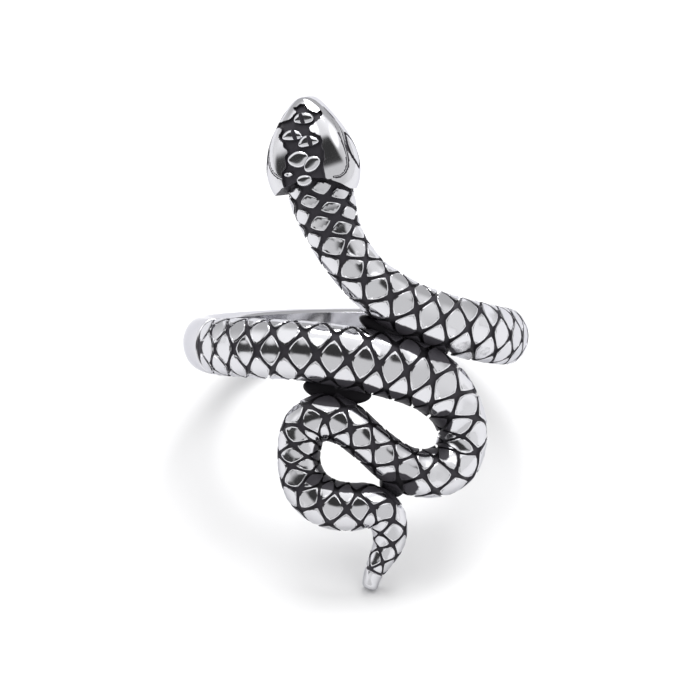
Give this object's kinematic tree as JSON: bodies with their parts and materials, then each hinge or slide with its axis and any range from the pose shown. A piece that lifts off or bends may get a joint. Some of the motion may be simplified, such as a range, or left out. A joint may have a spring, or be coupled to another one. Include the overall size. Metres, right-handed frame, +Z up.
{
  "type": "snake ring",
  "caption": "Cast finger ring in the form of a scaled snake that winds once round the finger, head raised and tail coiled in an S below.",
  "frame": {"origin": "middle of the bounding box at the surface the ring rests on", "axes": "+Z up, +Y away from the viewer of the picture, +X to their right; the finger axis leans 36.5 degrees back from +Z towards +Y"},
  "size_m": [0.0226, 0.0258, 0.026],
  "materials": {
    "oxidised_steel": "polished cast steel, with the grooves between the scales blackened"
  },
  "bodies": {
    "root": {"snake_ring": "oxidised_steel"}
  },
  "joints": []
}
